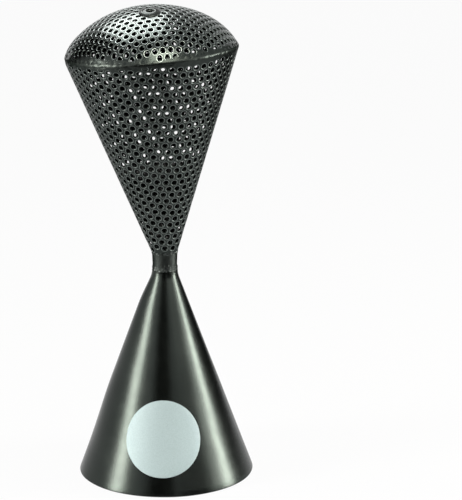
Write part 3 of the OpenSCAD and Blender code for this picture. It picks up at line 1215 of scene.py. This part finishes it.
# %% Cut the thread
insert_end = 1.5
thread_pitch = 1
thread_rows = 8
thread_depth = 0.45
thread_core = insert_radii.min()
shell_profile = [
    (socket_r - chamfer, insert_low),
    (socket_r, insert_low + chamfer),
    (socket_r, crown_top - chamfer),
    (socket_r - chamfer, crown_top),
    (thread_core + thread_depth + chamfer, crown_top),
]
bore_len = crown_top - insert_low - insert_end
thread_angle = full_turn(neck_steps)
thread_down = np.linspace(0, bore_len, thread_rows * int(bore_len / thread_pitch) + 1)[:, None]
turns = thread_down / thread_pitch + thread_angle / TURN
thread_r = thread_core + thread_depth * np.abs(2 * (turns % 1) - 1)
bore = turned(thread_r, thread_angle, crown_top - thread_down)
insert, insert_faces = capped(np.concatenate([lathe(shell_profile, neck_steps), bore]))
insert = from_crown(insert)
make_piece("threaded_insert", insert, insert_faces, crown_finish, "crown_insert", sharp=50)

# %% [markdown]
# ## The shot
# Steel balls fill the bottom of the basket, and only dark glints of them show through the holes. They
# could be dropped in by a physics simulation, but the CAD model already gives them a place, and both
# should agree: level layers of rings, one ball's width apart, from the sleeve's end up. A few dozen
# faces are enough for each.

# %% Fill the basket
shot_points = to_basket(node_points("shot"))
shot_r = 3
shot_step = 6.2
shot_gap = 0.6
shot_low = shot_points[:, 2].min() + shot_r
shot_high = shot_points[:, 2].max() - shot_r
layer_turn = np.radians(137.5)
layers = np.arange(shot_low, shot_high + shot_r, shot_step)
wall = basket_r + (np.tan(basket_half) * layers) - (sheet + shot_r + shot_gap) / np.cos(basket_half)


def ball_ring(radius, height, start):
    """Centres of the balls on one ring, as many as fit side by side."""
    count = int(np.pi / np.arcsin(min(1, shot_step / (2 * radius)))) if radius > 0 else 1
    return turned(radius, start + full_turn(count), height)


centres = []
for layer, (height, outermost) in enumerate(zip(layers, wall)):
    radii = outermost - shot_step * np.arange(int((outermost - shot_step / 2) / shot_step) + 1)
    radii = np.append(radii, 0) if radii[-1] >= shot_step else radii
    centres += [ball_ring(radius, height, layer * layer_turn) for radius in radii]
centres = np.concatenate(centres)
print("balls:", len(centres))

# %% Make the balls
ball_columns = 7
ball_rows = 4
ball_pole = 0.4
ball_bend = np.linspace(ball_pole, np.pi - ball_pole, ball_rows)
ball_profile = shot_r * np.stack([np.sin(ball_bend), -np.cos(ball_bend)], -1)
ball, ball_faces = capped(lathe(ball_profile, ball_columns))
balls = from_basket((centres[:, None] + ball).reshape(-1, 3))
all_faces = (np.arange(len(centres))[:, None, None] * len(ball) + ball_faces).reshape(-1, 3)
shot_finish = satin_coat("dark_shot", (0.03, 0.03, 0.03), (0.06, 0.06, 0.058), (0.4, 0.6))
make_piece("loose_shot", balls, all_faces, shot_finish, "shot", body="shot", sharp=100)

# %% [markdown]
# ## The silver disc
# A plain round disc of silver foil is stuck on the front of the bell, a little off the middle. A flat
# disc would stand off the curved sheet, and a Shrinkwrap would stretch it. So the disc is laid out flat,
# in rings round its middle, and rolled onto the bell in the same way as the basket's blank: distances
# along the sheet stay as they are.

# %% Roll the disc onto the bell
disc_r = 23.25
disc_z = 32.7
disc_t = 0.4
disc_steps = 96
disc_rows = 8
disc_turn = np.radians(2.8)
disc_hub = 0.5
disc_land = 0.6
disc_round = 0.2
glue = 0.02
bell_tip_z = cone_foot[1] + cone_foot[0] / np.tan(bell_half)
disc_slant = (bell_tip_z - disc_z) / np.cos(bell_half)
flat_r = np.linspace(disc_hub, disc_r - disc_land, disc_rows)
disc_rings = np.concatenate([
    np.stack([flat_r, np.full(disc_rows, glue)], -1),
    [(disc_r, glue), (disc_r, disc_t * 0.4), (disc_r - disc_round, disc_t * 0.85)],
    np.stack([flat_r, np.full(disc_rows, disc_t)], -1)[::-1],
])
disc_angle = full_turn(disc_steps)
ring_r, ring_lift = disc_rings.T[:, :, None]
disc_across = ring_r * np.cos(disc_angle)
disc_down = disc_slant - ring_r * np.sin(disc_angle)
disc_distance = np.hypot(disc_across, disc_down)
disc_azimuth = -np.pi / 2 - disc_turn + np.arctan2(disc_across, disc_down) / np.sin(bell_half)
disc_radius = disc_distance * np.sin(bell_half) + ring_lift * np.cos(bell_half)
disc_height = bell_tip_z - disc_distance * np.cos(bell_half) + ring_lift * np.sin(bell_half)
disc, disc_faces = capped(out_of_true(turned(disc_radius, disc_azimuth, disc_height)))

disc_finish, tree, shader = new_finish("silver_foil")
shader.inputs["Metallic"].default_value = 0.2
foil = tones(tree, noise(tree, 1500, 3), (0.385, 0.485, 0.495), (0.45, 0.555, 0.565))
tree.links.new(foil, shader.inputs["Base Color"])
tree.links.new(scaled(tree, noise(tree, 60, 4), 0.55, 0.7), shader.inputs["Roughness"])
bumped(tree, shader, noise(tree, 3000, 2), 0.00001)
make_piece("silver_disc", disc, disc_faces, disc_finish, "badge_disc", sharp=30)
